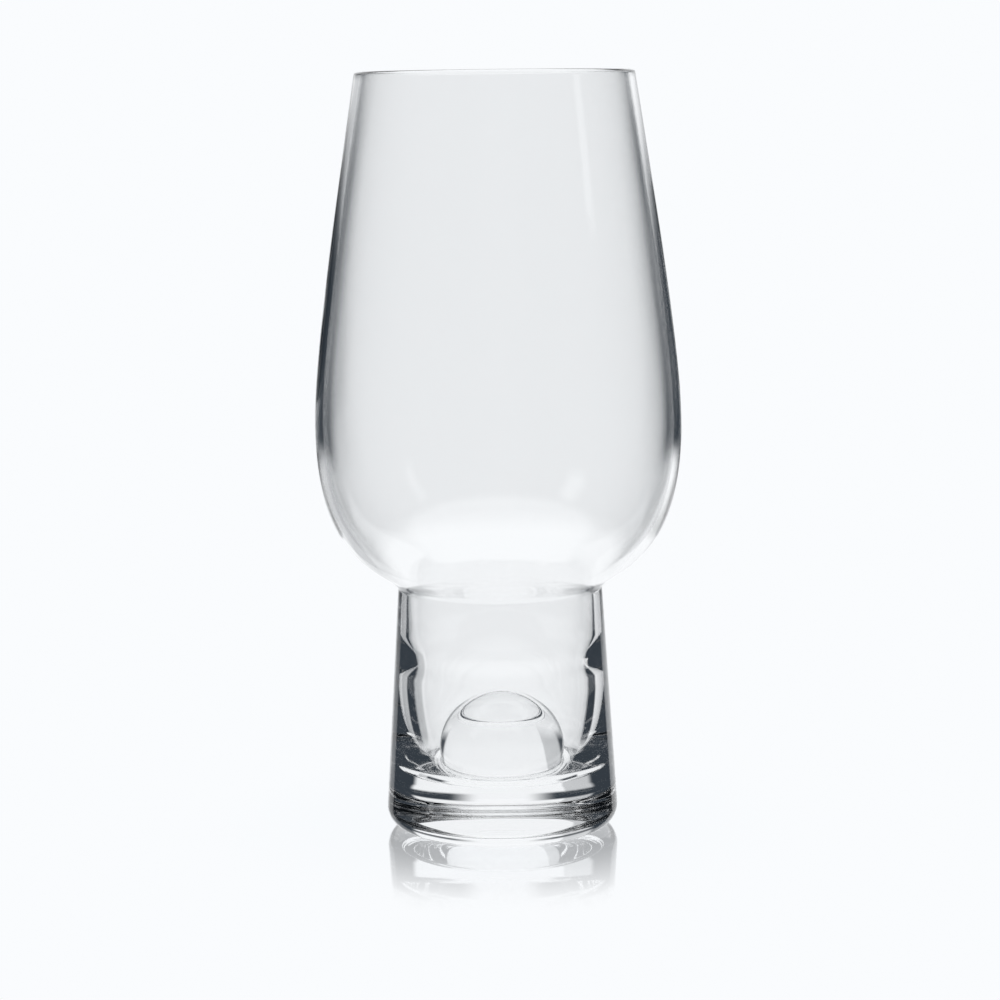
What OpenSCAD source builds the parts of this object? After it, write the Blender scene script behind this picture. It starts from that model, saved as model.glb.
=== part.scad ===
// Stemless pint glass: a thin blown bowl on a short hollow pedestal with a heavy solid base.
// +Z is up, the origin is at the centre of the resting ring, and sizes are in millimetres.

/* [Overall] */
// Height from the table to the top of the rim
height = 182; // [176:0.5:192]

/* [Bowl] */
// Outside diameter just under the rim
rim_d = 66.4; // [60:0.2:72]
// Outside diameter at the widest point
belly_d = 87.8; // [82:0.2:94]
// Height of the widest point above the table
belly_z = 98.5; // [94:0.5:104]
// Lean of the wall from upright just below the rim, in degrees
rim_lean = 9; // [4:0.5:12]
// How far the straight run below the rim reaches down
rim_run = 21; // [14:0.5:28]
// How far the upright run reaches above the widest point
belly_rise = 17; // [10:0.5:24]
// How far the upright run reaches below the widest point
belly_drop = 33; // [26:0.5:36]
// Slope of the underside where it meets the pedestal, in degrees
under_slope = 50; // [35:1:60]
// How far the underside keeps that slope
under_run = 6; // [3:0.5:9]
// Wall thickness at the rim
lip_t = 1.3; // [1:0.1:1.8]
// Wall thickness at the widest point
belly_t = 1.8; // [1.4:0.1:2.4]
// How far the inside keeps its width below the widest point
inside_drop = 34; // [28:0.5:36]

/* [Pedestal] */
// Outside diameter of the neck, where the bowl meets the pedestal
neck_d = 49.2; // [46:0.2:52]
// Height of the neck above the table
neck_z = 58.5; // [56:0.5:61]
// Radius of the crease round the neck
crease_r = 1.2; // [0.6:0.1:2]
// Wall thickness at the neck
neck_t = 2.1; // [1.5:0.1:3]
// How far the inside shoulder reaches above the neck
shoulder_rise = 5; // [3:0.5:7]
// Height at which the cavity starts to narrow
step_z = 48; // [46.5:0.5:50]
// Height over which it narrows
step_h = 10; // [7:0.5:10]
// How much it narrows on each side
step_in = 1; // [0.5:0.1:2]
// Height at which the cavity starts to round in towards its floor
hollow_z = 35; // [32:0.5:36]

/* [Base] */
// Outside diameter of the base where its side meets the rounded edge
base_d = 56; // [53:0.2:60]
// Diameter of the solid dome that rises from the cavity's floor
dome_d = 31.6; // [26:0.2:32]
// Height of the top of the dome above the table
dome_z = 32.4; // [30:0.1:34]
// Radius of the rounded trough where the dome meets the cavity's floor
trough_r = 1.2; // [0.8:0.1:1.6]
// Height of the bottom of the trough above the table
trough_z = 13.4; // [11:0.1:14]
// Radius of the rounded bottom edge
edge_r = 5; // [3:0.5:6]
// Diameter of the shallow recess inside the resting ring
recess_d = 29; // [24:0.5:36]
// Depth of that recess
recess_h = 2; // [0.5:0.1:2.5]

/* [Hidden] */
$fn = 96;
CURVE_STEPS = 28;      // straight pieces in each long curve
ARC_STEPS = 8;         // straight pieces in each small arc
JOIN_STEP = 12;        // step of the cavity's hollow at which the base meets the pedestal

rim_r = rim_d / 2;
belly_r = belly_d / 2;
neck_r = neck_d / 2;
bore_r = neck_r - neck_t;
base_r = base_d / 2;
dome_r = dome_d / 2;
recess_r = recess_d / 2;
lip_r = lip_t / 2;
lip_z = height - lip_r;

// Points of a cubic curve from p[0] to p[3], pulled towards p[1] and p[2]
function cubic(p, steps = CURVE_STEPS) = [
    for (i = [0:steps])
        let (t = i / steps, s = 1 - t)
            s * s * s * p[0] + 3 * s * s * t * p[1] + 3 * s * t * t * p[2] + t * t * t * p[3]
];

// Points of an arc round centre c, from angle a0 to angle a1
function arc(c, r, a0, a1, steps = ARC_STEPS) = [
    for (i = [0:steps])
        let (a = a0 + (a1 - a0) * i / steps)
            c + r * [cos(a), sin(a)]
];

function tail(points) = [for (i = [1:len(points) - 1]) points[i]];
function part_of(points, first, last) = [for (i = [first:last]) points[i]];

// Outside of the bowl, from the crease round the neck up to the rim
under_start = [neck_r + crease_r * (1 - sin(under_slope)), neck_z + crease_r * cos(under_slope)];
crease = arc([neck_r + crease_r, neck_z], crease_r, 180, 90 + under_slope);
under = cubic([
    under_start,
    under_start + under_run * [cos(under_slope), sin(under_slope)],
    [belly_r, belly_z - belly_drop],
    [belly_r, belly_z]
]);
side = cubic([
    [belly_r, belly_z],
    [belly_r, belly_z + belly_rise],
    [rim_r, lip_z] + rim_run * [sin(rim_lean), -cos(rim_lean)],
    [rim_r, lip_z]
]);

// The rim's rounded top edge, from outside to inside
lip = arc([rim_r - lip_r, lip_z], lip_r, 0, 180);

// Inside of the bowl, from the rim down to the neck
inside_r = belly_r - belly_t;
inside = cubic([
    [rim_r - lip_t, lip_z],
    [rim_r - lip_t, lip_z] + rim_run * [sin(rim_lean), -cos(rim_lean)],
    [inside_r, belly_z + belly_rise],
    [inside_r, belly_z]
]);
shoulder = cubic([
    [inside_r, belly_z],
    [inside_r, belly_z - inside_drop],
    [bore_r, neck_z + shoulder_rise],
    [bore_r, neck_z]
]);

// The cavity's wall, from the neck down: upright, a soft narrowing, then upright again
middle_r = bore_r - step_in;
step_end = step_z - step_h;
narrowing = cubic([
    [bore_r, step_z],
    [bore_r, step_z - step_h / 3],
    [middle_r, step_end + step_h / 3],
    [middle_r, step_end]
]);

// The dome is part of a ball. A small round joins it to the bottom of the trough.
dome_mid = dome_z - dome_r;
dome_start = asin((trough_z + trough_r - dome_mid) / dome_r);
trough_mid = [dome_r * cos(dome_start) + trough_r, trough_z + trough_r];
dome = arc([0, dome_mid], dome_r, dome_start, 90, CURVE_STEPS);
trough = arc(trough_mid, trough_r, -90, -180);

// The cavity rounds in towards the trough as a quarter of an ellipse
hollow = [
    for (i = [0:CURVE_STEPS])
        let (a = 90 * i / CURVE_STEPS)
            [
                trough_mid[0] + (middle_r - trough_mid[0]) * cos(a),
                hollow_z - (hollow_z - trough_z) * sin(a)
            ]
];
join = hollow[JOIN_STEP];

// Outside radius of the pedestal and base at height z
function side_r(z) = neck_r + (base_r - neck_r) * (neck_z - z) / (neck_z - edge_r);

// The rounded bottom edge, from the resting ring up to the side
edge = arc([base_r - edge_r, edge_r], edge_r, -90, 0);

// The shallow recess under the base, from the axis out to the resting ring
recess = [
    for (i = [0:CURVE_STEPS])
        let (r = recess_r * i / CURVE_STEPS)
            [r, recess_h * (1 - pow(r / recess_r, 2))]
];

module turned(outline) {
    rotate_extrude() polygon(outline);
}

// The thin blown bowl, open at the rim and at the neck
module bowl() {
    color([0.90, 0.94, 0.95, 0.35])
        turned(concat(crease, tail(under), tail(side), tail(lip), tail(inside), tail(shoulder)));
}

// The hollow pedestal, a thick tapered tube
module pedestal() {
    color([0.84, 0.90, 0.91, 0.35])
        turned(concat(
            [[side_r(join[1]), join[1]], [neck_r, neck_z], [bore_r, neck_z]],
            narrowing,
            part_of(hollow, 0, JOIN_STEP)
        ));
}

// The heavy base, with the end of the cavity and its dome on top and a recess underneath
module base() {
    color([0.76, 0.85, 0.86, 0.35])
        turned(concat(
            recess,
            edge,
            [[side_r(join[1]), join[1]]],
            part_of(hollow, JOIN_STEP, CURVE_STEPS),
            tail(trough),
            tail(dome)
        ));
}

bowl();
pedestal();
base();
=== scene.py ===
import math

import bpy
from mathutils import Matrix, Vector


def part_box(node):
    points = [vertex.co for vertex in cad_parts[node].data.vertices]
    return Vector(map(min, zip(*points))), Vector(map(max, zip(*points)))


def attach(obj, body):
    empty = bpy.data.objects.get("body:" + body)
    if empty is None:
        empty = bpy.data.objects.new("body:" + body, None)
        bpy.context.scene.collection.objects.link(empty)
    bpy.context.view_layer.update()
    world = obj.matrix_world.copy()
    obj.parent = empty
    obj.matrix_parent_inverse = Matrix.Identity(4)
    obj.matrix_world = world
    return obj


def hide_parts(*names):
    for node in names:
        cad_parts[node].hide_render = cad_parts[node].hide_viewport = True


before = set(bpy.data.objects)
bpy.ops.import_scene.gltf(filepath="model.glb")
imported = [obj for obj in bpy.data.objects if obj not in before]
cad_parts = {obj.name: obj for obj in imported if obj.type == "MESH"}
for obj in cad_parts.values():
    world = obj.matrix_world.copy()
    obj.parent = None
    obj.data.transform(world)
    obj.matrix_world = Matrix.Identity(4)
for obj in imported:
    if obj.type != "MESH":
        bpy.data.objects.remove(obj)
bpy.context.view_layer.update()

# A clear pint glass: a thin blown bowl on a short hollow pedestal with a heavy base.
# Each of the three fused parts is one closed piece, turned from one outline of the whole wall.
# Lengths in this section are in millimetres, and MM takes them to Blender's metres.
MM = 0.001


def top_of(node):
    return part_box(node)[1].z / MM


def bottom_of(node):
    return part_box(node)[0].z / MM


def width_of(node):
    lowest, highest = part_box(node)
    return (highest.x - lowest.x) / MM


# ---------------------------------------------------------------- sizes that the frame gives
HEIGHT = top_of("bowl")
BELLY_R = width_of("bowl") / 2
NECK_Z = top_of("pedestal")
JOIN_Z = bottom_of("pedestal")
BASE_R = width_of("base") / 2

# ---------------------------------------------------------------- the rest of the outline
RIM_R = 33.2            # outside, just under the rim
BELLY_Z = 98.5          # height of the widest point
RIM_LEAN = 9.0          # lean of the wall below the rim, degrees
RIM_RUN = 21.0
BELLY_RISE = 17.0
BELLY_DROP = 33.0
UNDER_SLOPE = 50.0      # slope of the underside at the crease, degrees
UNDER_RUN = 6.0
LIP_T = 1.3
BELLY_T = 1.8
INSIDE_DROP = 34.0
NECK_R = 24.6
CREASE_R = 1.2
NECK_T = 2.1
SHOULDER_RISE = 5.0
STEP_Z = 48.0           # where the cavity starts to narrow
STEP_H = 10.0
STEP_IN = 1.0
HOLLOW_Z = 35.0         # where the cavity starts to round in towards its floor
DOME_R = 15.8
DOME_Z = 32.4
TROUGH_R = 1.2
TROUGH_Z = 13.4
EDGE_R = 5.0
RECESS_R = 14.5
RECESS_H = 2.0

CURVE_STEPS = 44        # pieces in each long curve of the outline
ARC_STEPS = 14          # pieces in each small arc
STRAIGHT_STEP = 2.0     # longest piece of a straight run
TURN_STEPS = 224        # faces round the axis
SHARP = math.cos(math.radians(25))    # a sharper turn than this keeps its edge


def cubic(a, b, c, d, steps=CURVE_STEPS):
    """Points of a cubic curve from a to d, pulled towards b and c."""
    points = []
    for i in range(steps + 1):
        t = i / steps
        s = 1 - t
        points.append(a * s**3 + b * 3 * s * s * t + c * 3 * s * t * t + d * t**3)
    return points


def arc(centre, radius, start, end, steps=ARC_STEPS):
    """Points of an arc round centre between two angles in degrees."""
    angles = (math.radians(start + (end - start) * i / steps) for i in range(steps + 1))
    return [centre + radius * Vector((math.cos(a), math.sin(a))) for a in angles]


def at(radius, height):
    return Vector((radius, height))


def straight(a, b):
    """Points along the line from a to b, at most STRAIGHT_STEP apart."""
    steps = max(1, math.ceil((b - a).length / STRAIGHT_STEP))
    return [a.lerp(b, i / steps) for i in range(steps + 1)]


def lean_from_rim():
    """From the rim to the point that pulls the wall's curve below it."""
    lean = math.radians(RIM_LEAN)
    return RIM_RUN * at(math.sin(lean), -math.cos(lean))


def outer_runs():
    """The outside of the wall, from the middle of the recess up to the rim, split at the joins."""
    side_top = at(NECK_R, NECK_Z)
    side_foot = at(BASE_R, EDGE_R)
    side_join = side_foot.lerp(side_top, (JOIN_Z - EDGE_R) / (NECK_Z - EDGE_R))
    recess = []
    for i in range(ARC_STEPS + 1):
        share = i / ARC_STEPS
        recess.append(at(RECESS_R * share, RECESS_H * (1 - share**2)))
    edge = arc(at(BASE_R - EDGE_R, EDGE_R), EDGE_R, -90, 0)
    base = recess + straight(recess[-1], edge[0])[1:] + edge[1:] + straight(side_foot, side_join)[1:]
    pedestal = straight(side_join, side_top)
    slope = math.radians(UNDER_SLOPE)
    under_start = at(
        NECK_R + CREASE_R * (1 - math.sin(slope)), NECK_Z + CREASE_R * math.cos(slope)
    )
    along = at(math.cos(slope), math.sin(slope))
    lip_z = HEIGHT - LIP_T / 2
    crease = arc(at(NECK_R + CREASE_R, NECK_Z), CREASE_R, 180, 90 + UNDER_SLOPE)
    under = cubic(
        under_start,
        under_start + UNDER_RUN * along,
        at(BELLY_R, BELLY_Z - BELLY_DROP),
        at(BELLY_R, BELLY_Z),
    )
    side = cubic(
        at(BELLY_R, BELLY_Z),
        at(BELLY_R, BELLY_Z + BELLY_RISE),
        at(RIM_R, lip_z) + lean_from_rim(),
        at(RIM_R, lip_z),
    )
    lip = arc(at(RIM_R - LIP_T / 2, lip_z), LIP_T / 2, 0, 180)
    bowl = crease + under + side[1:] + lip[1:]
    return base, pedestal, bowl


def inner_runs():
    """The inside of the wall, from the rim down to the middle of the floor, split at the joins."""
    inside_r = BELLY_R - BELLY_T
    rim_in = at(RIM_R - LIP_T, HEIGHT - LIP_T / 2)
    inside = cubic(
        rim_in,
        rim_in + lean_from_rim(),
        at(inside_r, BELLY_Z + BELLY_RISE),
        at(inside_r, BELLY_Z),
    )
    bore_r = NECK_R - NECK_T
    shoulder = cubic(
        at(inside_r, BELLY_Z),
        at(inside_r, BELLY_Z - INSIDE_DROP),
        at(bore_r, NECK_Z + SHOULDER_RISE),
        at(bore_r, NECK_Z),
    )
    middle_r = bore_r - STEP_IN
    step_end = STEP_Z - STEP_H
    narrowing = cubic(
        at(bore_r, STEP_Z),
        at(bore_r, STEP_Z - STEP_H / 3),
        at(middle_r, step_end + STEP_H / 3),
        at(middle_r, step_end),
    )
    dome_mid = DOME_Z - DOME_R
    dome_start = math.asin((TROUGH_Z + TROUGH_R - dome_mid) / DOME_R)
    trough_mid = at(DOME_R * math.cos(dome_start) + TROUGH_R, TROUGH_Z + TROUGH_R)
    dome = arc(at(0, dome_mid), DOME_R, math.degrees(dome_start), 90, CURVE_STEPS)
    trough = arc(trough_mid, TROUGH_R, -90, -180)
    hollow = []
    for i in range(CURVE_STEPS + 1):
        turn = math.pi / 2 * i / CURVE_STEPS
        across = (middle_r - trough_mid.x) * math.cos(turn)
        down = (HOLLOW_Z - TROUGH_Z) * math.sin(turn)
        hollow.append(at(trough_mid.x + across, HOLLOW_Z - down))
    split = min(range(len(hollow)), key=lambda i: abs(hollow[i].y - JOIN_Z))
    dome[-1].x = 0
    upright = straight(at(bore_r, NECK_Z), at(bore_r, STEP_Z))
    middle = straight(narrowing[-1], hollow[0])
    upper = upright + narrowing[1:] + middle[1:] + hollow[1 : split + 1]
    lower = hollow[split:] + trough[1:] + dome[1:]
    return inside + shoulder[1:], upper, lower


def side_normal(a, b):
    """The outward normal of the stretch of outline from a to b."""
    step = (b - a).normalized()
    return at(step.y, -step.x)


def corner_normals(points):
    """For each stretch of the outline, the normals at its two ends, smooth unless the turn is sharp."""
    stretches = list(zip(points, points[1:]))
    flat = [side_normal(a, b) for a, b in stretches]
    lengths = [(b - a).length for a, b in stretches]
    starts, ends = list(flat), list(flat)
    for i in range(1, len(flat)):
        if flat[i - 1].dot(flat[i]) < SHARP:
            continue
        shared = (flat[i - 1] * lengths[i - 1] + flat[i] * lengths[i]).normalized()
        ends[i - 1] = shared
        starts[i] = shared
    return [(a, b, n, m) for (a, b), n, m in zip(stretches, starts, ends)]


def turned_piece(name, walls, joins):
    """A closed mesh turned round Z from stretches of wall and flat joins, with its true normals."""
    vertices, rings, faces, normals, slots = [], {}, [], [], []
    directions = []
    for k in range(TURN_STEPS):
        angle = 2 * math.pi * k / TURN_STEPS
        directions.append((math.cos(angle), math.sin(angle)))

    def ring(point):
        key = (round(point.x, 5), round(point.y, 5))
        if key not in rings:
            first = len(vertices)
            if point.x < 1e-5:
                vertices.append((0, 0, point.y * MM))
                rings[key] = [first] * TURN_STEPS
            else:
                x, z = point.x * MM, point.y * MM
                vertices.extend((c * x, s * x, z) for c, s in directions)
                rings[key] = list(range(first, first + TURN_STEPS))
        return rings[key]

    def spun(normal, k):
        c, s = directions[k % TURN_STEPS]
        return (c * normal.x, s * normal.x, normal.y)

    for slot, stretches in ((0, walls), (1, joins)):
        for a, b, normal_a, normal_b in stretches:
            low, high = ring(a), ring(b)
            for k in range(TURN_STEPS):
                after = (k + 1) % TURN_STEPS
                corners = [(low[k], normal_a, k), (low[after], normal_a, k + 1)]
                corners += [(high[after], normal_b, k + 1), (high[k], normal_b, k)]
                if low[0] == low[1]:
                    corners.pop(1)
                elif high[0] == high[1]:
                    corners.pop(3)
                faces.append([v for v, _, _ in corners])
                normals.extend(spun(n, turn) for _, n, turn in corners)
                slots.append(slot)
    mesh = bpy.data.meshes.new(name)
    mesh.from_pydata(vertices, [], faces)
    mesh.polygons.foreach_set("use_smooth", [True] * len(faces))
    mesh.polygons.foreach_set("material_index", slots)
    mesh.normals_split_custom_set(normals)
    piece = bpy.data.objects.new(name, mesh)
    bpy.context.scene.collection.objects.link(piece)
    return piece


def joined(a, b):
    """A flat join face of a fused part, from one edge of its wall to the other."""
    normal = side_normal(a, b)
    return (a, b, normal, normal)


# ---------------------------------------------------------------- materials
def node_tree(material):
    material.use_nodes = True
    material.node_tree.nodes.clear()
    return material.node_tree


GLASS_TINT = (0.994, 0.996, 0.996, 1)
GLASS_IOR = 1.5
WAVES_PER_METRE = (55, 55, 22)      # the waves in the surface are stretched along the axis
WAVE_DEPTH = 0.16                   # millimetres
SCUFF = 0.16                        # roughness of the worn ring that the glass stands on
SCUFF_LOW = 0.1                     # it is full up to here and gone at SCUFF_HIGH, millimetres
SCUFF_HIGH = 0.6
SCRATCHES_PER_METRE = 420.0


def clear_glass():
    """Clear soda-lime glass with the faint waves of blown glass and a scuffed resting ring."""
    material = bpy.data.materials.new("clear_glass")
    tree = node_tree(material)
    nodes, links = tree.nodes, tree.links
    shader = nodes.new("ShaderNodeBsdfPrincipled")
    shader.inputs["Base Color"].default_value = GLASS_TINT
    shader.inputs["Transmission Weight"].default_value = 1.0
    shader.inputs["IOR"].default_value = GLASS_IOR
    place = nodes.new("ShaderNodeTexCoord")
    split = nodes.new("ShaderNodeSeparateXYZ")
    links.new(place.outputs["Object"], split.inputs["Vector"])
    underside = nodes.new("ShaderNodeMapRange")
    underside.inputs["From Min"].default_value = SCUFF_LOW * MM
    underside.inputs["From Max"].default_value = SCUFF_HIGH * MM
    underside.inputs["To Min"].default_value = SCUFF
    underside.inputs["To Max"].default_value = 0.0
    links.new(split.outputs["Z"], underside.inputs["Value"])
    scratches = nodes.new("ShaderNodeTexNoise")
    scratches.inputs["Scale"].default_value = SCRATCHES_PER_METRE
    scratches.inputs["Detail"].default_value = 3.0
    links.new(place.outputs["Object"], scratches.inputs["Vector"])
    scuffs = nodes.new("ShaderNodeMath")
    scuffs.operation = "MULTIPLY"
    links.new(underside.outputs["Result"], scuffs.inputs[0])
    links.new(scratches.outputs["Fac"], scuffs.inputs[1])
    links.new(scuffs.outputs["Value"], shader.inputs["Roughness"])
    stretch = nodes.new("ShaderNodeMapping")
    stretch.inputs["Scale"].default_value = WAVES_PER_METRE
    links.new(place.outputs["Object"], stretch.inputs["Vector"])
    waves = nodes.new("ShaderNodeTexNoise")
    waves.inputs["Scale"].default_value = 1.0
    waves.inputs["Detail"].default_value = 1.0
    links.new(stretch.outputs["Vector"], waves.inputs["Vector"])
    bump = nodes.new("ShaderNodeBump")
    bump.inputs["Strength"].default_value = 1.0
    bump.inputs["Distance"].default_value = WAVE_DEPTH * MM
    links.new(waves.outputs["Fac"], bump.inputs["Height"])
    links.new(bump.outputs["Normal"], shader.inputs["Normal"])
    out = nodes.new("ShaderNodeOutputMaterial")
    links.new(shader.outputs["BSDF"], out.inputs["Surface"])
    return material


def fused_join():
    """Nothing shows where two parts are fused, so light passes straight through."""
    material = bpy.data.materials.new("fused_join")
    tree = node_tree(material)
    through = tree.nodes.new("ShaderNodeBsdfTransparent")
    out = tree.nodes.new("ShaderNodeOutputMaterial")
    tree.links.new(through.outputs["BSDF"], out.inputs["Surface"])
    return material


# ---------------------------------------------------------------- the glass
def build_glass():
    base_out, pedestal_out, bowl_out = outer_runs()
    bowl_in, pedestal_in, base_in = inner_runs()
    outline = base_out + pedestal_out[1:] + bowl_out[1:] + bowl_in[1:] + pedestal_in[1:] + base_in[1:]
    stretches = corner_normals(outline)
    cuts = [0]
    for run in (base_out, pedestal_out, bowl_out + bowl_in[1:], pedestal_in, base_in):
        cuts.append(cuts[-1] + len(run) - 1)
    parts = [stretches[a:b] for a, b in zip(cuts, cuts[1:])]
    neck_out, neck_in = pedestal_out[-1], pedestal_in[0]
    foot_out, foot_in = pedestal_out[0], base_in[0]
    made = [
        turned_piece("bowl_glass", parts[2], [joined(neck_in, neck_out)]),
        turned_piece(
            "pedestal_glass",
            parts[1] + parts[3],
            [joined(neck_out, neck_in), joined(foot_in, foot_out)],
        ),
        turned_piece("base_glass", parts[0] + parts[4], [joined(foot_out, foot_in)]),
    ]
    glass, join = clear_glass(), fused_join()
    for piece, node in zip(made, ("bowl", "pedestal", "base")):
        piece.data.materials.append(glass)
        piece.data.materials.append(join)
        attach(piece, "root")
        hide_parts(node)


# ---------------------------------------------------------------- camera
CAMERA_DISTANCE = 4.03 * HEIGHT
CAMERA_HEIGHT = 1.053 * HEIGHT
CAMERA_PITCH = 8.68     # degrees below the horizon
CAMERA_ROLL = -0.64
CAMERA_ASIDE = 0.2      # to the right of the glass's axis
CAMERA_LENS = 111.0
CAMERA_SENSOR = 36.0


def make_camera():
    data = bpy.data.cameras.new("camera")
    data.lens = CAMERA_LENS
    data.sensor_width = CAMERA_SENSOR
    data.clip_start = 0.01
    camera = bpy.data.objects.new("camera", data)
    bpy.context.scene.collection.objects.link(camera)
    place = Matrix.Translation((CAMERA_ASIDE * MM, -CAMERA_DISTANCE * MM, CAMERA_HEIGHT * MM))
    tilt = Matrix.Rotation(math.radians(90 - CAMERA_PITCH), 4, "X")
    roll = Matrix.Rotation(math.radians(CAMERA_ROLL), 4, "Z")
    camera.matrix_world = place @ tilt @ roll
    bpy.context.scene.camera = camera
    return camera


# ---------------------------------------------------------------- studio
PAPER = (0.956, 0.972, 0.990)      # the pale ground and floor
FLOOR_R = 3000.0
MIRROR_START = 26.0                # the polished floor's reflection fades out from here
MIRROR_END = 80.0
MIRROR_SHARE = 0.6
MIRROR_TINT = (0.97, 0.98, 0.99, 1)
MIRROR_ROUGHNESS = 0.03
FLOOR_GAP = 0.05                   # the floor lies this far under the glass, so they never touch


def make_floor():
    """A wide pale floor, polished under the glass, with a reflection that fades away from it."""
    mesh = bpy.data.meshes.new("floor")
    reach = FLOOR_R * MM
    corners = [(-reach, -reach, 0), (reach, -reach, 0), (reach, reach, 0), (-reach, reach, 0)]
    mesh.from_pydata(corners, [], [(0, 1, 2, 3)])
    floor = bpy.data.objects.new("floor", mesh)
    floor.location.z = -FLOOR_GAP * MM
    bpy.context.scene.collection.objects.link(floor)
    floor.visible_transmission = False
    floor.visible_glossy = False
    material = bpy.data.materials.new("polished_floor")
    tree = node_tree(material)
    nodes, links = tree.nodes, tree.links
    place = nodes.new("ShaderNodeTexCoord")
    length = nodes.new("ShaderNodeVectorMath")
    length.operation = "LENGTH"
    links.new(place.outputs["Object"], length.inputs[0])
    fade = nodes.new("ShaderNodeMapRange")
    fade.interpolation_type = "SMOOTHSTEP"
    fade.inputs["From Min"].default_value = MIRROR_START * MM
    fade.inputs["From Max"].default_value = MIRROR_END * MM
    fade.inputs["To Min"].default_value = MIRROR_SHARE
    fade.inputs["To Max"].default_value = 0.0
    links.new(length.outputs["Value"], fade.inputs["Value"])
    paper = nodes.new("ShaderNodeEmission")
    paper.inputs["Color"].default_value = (*PAPER, 1)
    polish = nodes.new("ShaderNodeBsdfGlossy")
    polish.inputs["Color"].default_value = MIRROR_TINT
    polish.inputs["Roughness"].default_value = MIRROR_ROUGHNESS
    mix = nodes.new("ShaderNodeMixShader")
    links.new(fade.outputs["Result"], mix.inputs["Fac"])
    links.new(paper.outputs["Emission"], mix.inputs[1])
    links.new(polish.outputs["BSDF"], mix.inputs[2])
    out = nodes.new("ShaderNodeOutputMaterial")
    links.new(mix.outputs["Shader"], out.inputs["Surface"])
    floor.data.materials.append(material)


GROUND_R = 1500.0                  # distance of the white ground from the glass's axis
GROUND_TOP = 50.0                  # its top and bottom, degrees over and under the horizon
GROUND_BOTTOM = -44.0
GROUND_SIDE = 44.0                 # its left and right ends, degrees
NARROW = 6.5                       # half its width behind the bowl, degrees
NARROW_EDGE = 12.0                 # how softly it ends there
WIDE = 36.0                        # half its width behind the pedestal and base
WIDE_EDGE = 5.0
WIDE_BELOW = -9.0                  # it is narrow only between these elevations, in degrees
NARROW_ABOVE = -5.0
NARROW_BELOW = 4.0
WIDE_ABOVE = 9.0
GREY_FROM = 21.0                   # past this the left side of the wide part is only light grey
GREY_EDGE = 1.5
GREY = 0.62


def soft_step(value, low, high):
    """0 below low, 1 above high, and a smooth rise between them."""
    t = min(1.0, max(0.0, (value - low) / (high - low)))
    return t * t * (3 - 2 * t)


def ground_glow(azimuth, elevation):
    """How bright the white ground is: narrow behind the bowl and wide behind the foot."""
    narrow = 1 - soft_step(abs(azimuth), NARROW, NARROW + NARROW_EDGE)
    wide = 1 - soft_step(abs(azimuth), WIDE, WIDE + WIDE_EDGE)
    wide *= 1 - (1 - GREY) * soft_step(-azimuth, GREY_FROM, GREY_FROM + GREY_EDGE)
    share = soft_step(elevation, WIDE_BELOW, NARROW_ABOVE)
    share *= 1 - soft_step(elevation, NARROW_BELOW, WIDE_ABOVE)
    return wide + (narrow - wide) * share


def make_ground(camera):
    """A curved white ground behind the glass, which turns with the camera."""
    columns = round(4 * GROUND_SIDE)
    rows = round(GROUND_TOP - GROUND_BOTTOM)
    points, faces, strengths = [], [], []
    for j in range(rows + 1):
        elevation = GROUND_BOTTOM + (GROUND_TOP - GROUND_BOTTOM) * j / rows
        height = GROUND_R * math.tan(math.radians(elevation))
        for i in range(columns + 1):
            azimuth = GROUND_SIDE * (2 * i / columns - 1)
            a = math.radians(azimuth)
            points.append(MM * Vector((GROUND_R * math.sin(a), GROUND_R * math.cos(a), height)))
            strengths.append(ground_glow(azimuth, elevation))
    for j in range(rows):
        for i in range(columns):
            corner = j * (columns + 1) + i
            faces.append((corner, corner + 1, corner + columns + 2, corner + columns + 1))
    mesh = bpy.data.meshes.new("white_ground")
    mesh.from_pydata(points, [], faces)
    layer = mesh.attributes.new("glow", "FLOAT", "POINT")
    layer.data.foreach_set("value", strengths)
    ground = bpy.data.objects.new("white_ground", mesh)
    bpy.context.scene.collection.objects.link(ground)
    bpy.context.view_layer.update()
    keep_with(ground, camera)
    ground.visible_camera = False
    ground.visible_diffuse = False
    ground.visible_shadow = False
    ground.data.materials.append(ground_light())


def ground_light():
    """The white ground's own light. Where it is dark, the room shows through it."""
    material = bpy.data.materials.new("ground_light")
    tree = node_tree(material)
    nodes, links = tree.nodes, tree.links
    glow = nodes.new("ShaderNodeAttribute")
    glow.attribute_name = "glow"
    light = nodes.new("ShaderNodeEmission")
    light.inputs["Color"].default_value = (*PAPER, 1)
    through = nodes.new("ShaderNodeBsdfTransparent")
    mix = nodes.new("ShaderNodeMixShader")
    links.new(glow.outputs["Fac"], mix.inputs["Fac"])
    links.new(through.outputs["BSDF"], mix.inputs[1])
    links.new(light.outputs["Emission"], mix.inputs[2])
    out = nodes.new("ShaderNodeOutputMaterial")
    links.new(mix.outputs["Shader"], out.inputs["Surface"])
    return material


def keep_with(thing, camera):
    """thing stays where it is in the camera's view when the camera moves."""
    thing.parent = camera
    thing.matrix_parent_inverse = camera.matrix_world.inverted()


DARK_ROOM = (0.036, 0.045, 0.056)
WHITE_BELOW = -44                  # elevations in degrees: the room is white under this,
DARK_FROM = -36                    # dark between these two,
DARK_TO = 42
WHITE_ABOVE = 50                   # and white again over this


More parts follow.
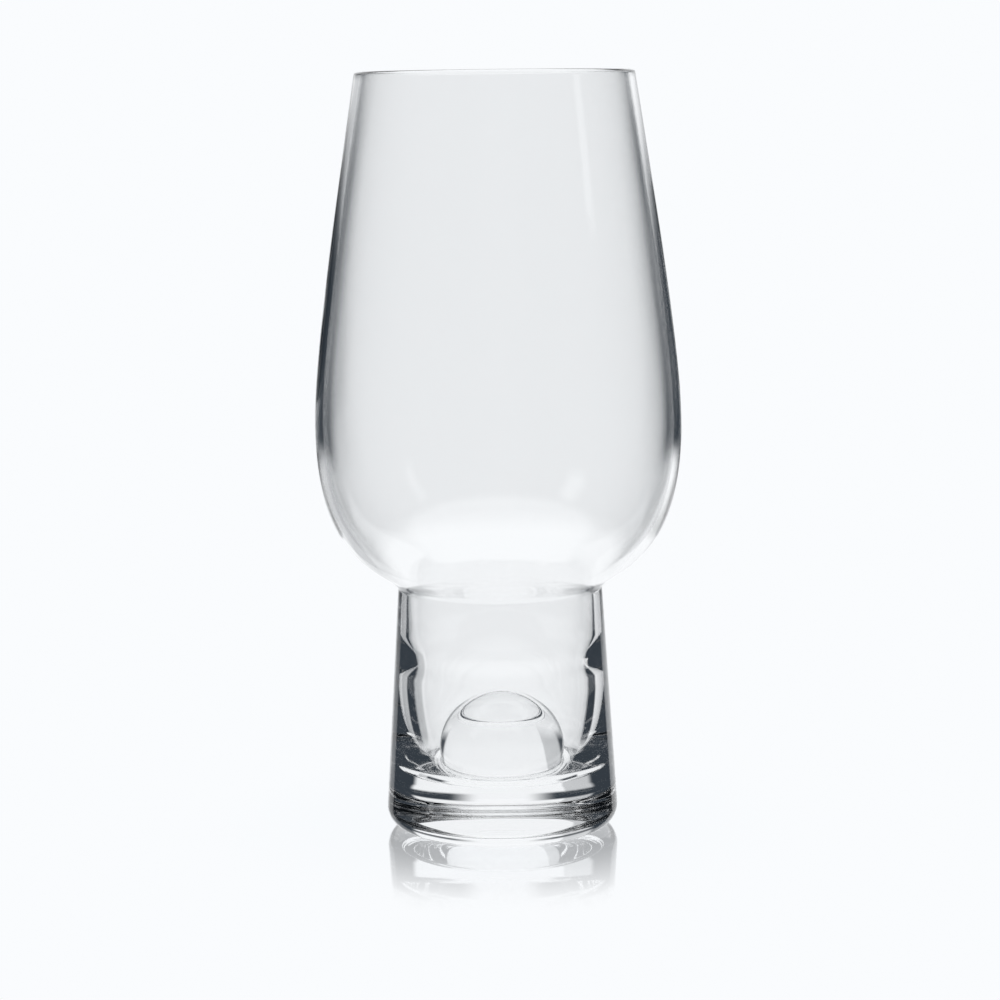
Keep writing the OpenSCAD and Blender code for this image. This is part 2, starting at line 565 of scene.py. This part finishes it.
def make_world():
    """White for the camera; in the glass, a dark room under a white ceiling and over a white floor."""
    world = bpy.data.worlds.new("studio")
    bpy.context.scene.world = world
    world.use_nodes = True
    tree = world.node_tree
    nodes, links = tree.nodes, tree.links
    nodes.clear()
    place = nodes.new("ShaderNodeTexCoord")
    split = nodes.new("ShaderNodeSeparateXYZ")
    links.new(place.outputs["Generated"], split.inputs["Vector"])
    bands = nodes.new("ShaderNodeValToRGB")
    height = nodes.new("ShaderNodeMapRange")
    height.inputs["From Min"].default_value = -1.0
    height.inputs["From Max"].default_value = 1.0
    links.new(split.outputs["Z"], height.inputs["Value"])
    links.new(height.outputs["Result"], bands.inputs["Fac"])
    ramp = bands.color_ramp
    stops = [(WHITE_BELOW, PAPER), (DARK_FROM, DARK_ROOM), (DARK_TO, DARK_ROOM), (WHITE_ABOVE, PAPER)]
    while len(ramp.elements) < len(stops):
        ramp.elements.new(0.5)
    for element, (elevation, colour) in zip(ramp.elements, stops):
        element.position = 0.5 + 0.5 * math.sin(math.radians(elevation))
        element.color = (*colour, 1)
    room = nodes.new("ShaderNodeBackground")
    links.new(bands.outputs["Color"], room.inputs["Color"])
    paper = nodes.new("ShaderNodeBackground")
    paper.inputs["Color"].default_value = (*PAPER, 1)
    path = nodes.new("ShaderNodeLightPath")
    mix = nodes.new("ShaderNodeMixShader")
    links.new(path.outputs["Is Camera Ray"], mix.inputs["Fac"])
    links.new(room.outputs["Background"], mix.inputs[1])
    links.new(paper.outputs["Background"], mix.inputs[2])
    out = nodes.new("ShaderNodeOutputWorld")
    links.new(mix.outputs["Shader"], out.inputs["Surface"])


SOFTBOX_DISTANCE = 1100.0
SOFTBOXES = (                      # name, azimuth, elevation, width, height, watts
    ("key_softbox", -62, 30, 260, 420, 0.3),
    ("fill_softbox", 70, 25, 120, 500, 0.12),
)


def make_lights(camera):
    """Soft lights in front of the glass, for the small highlights on it."""
    for name, azimuth, elevation, width, height, power in SOFTBOXES:
        data = bpy.data.lights.new(name, "AREA")
        data.shape = "RECTANGLE"
        data.size, data.size_y = width * MM, height * MM
        data.energy = power
        light = bpy.data.objects.new(name, data)
        bpy.context.scene.collection.objects.link(light)
        a, e = math.radians(azimuth), math.radians(elevation)
        away = Vector((math.sin(a) * math.cos(e), -math.cos(a) * math.cos(e), math.sin(e)))
        middle = Vector((0, 0, HEIGHT / 2 * MM))
        light.location = middle + away * SOFTBOX_DISTANCE * MM
        light.rotation_euler = away.to_track_quat("Z", "Y").to_euler()
        bpy.context.view_layer.update()
        keep_with(light, camera)
        light.visible_camera = False


BOUNCES = 24            # light crosses many surfaces in the foot


def set_render():
    scene = bpy.context.scene
    scene.view_settings.view_transform = "Standard"
    cycles = scene.cycles
    cycles.max_bounces = BOUNCES
    cycles.transmission_bounces = BOUNCES
    cycles.glossy_bounces = BOUNCES
    cycles.transparent_max_bounces = BOUNCES
    cycles.caustics_reflective = False
    cycles.caustics_refractive = False


build_glass()
camera = make_camera()
make_floor()
make_ground(camera)
make_world()
make_lights(camera)
set_render()
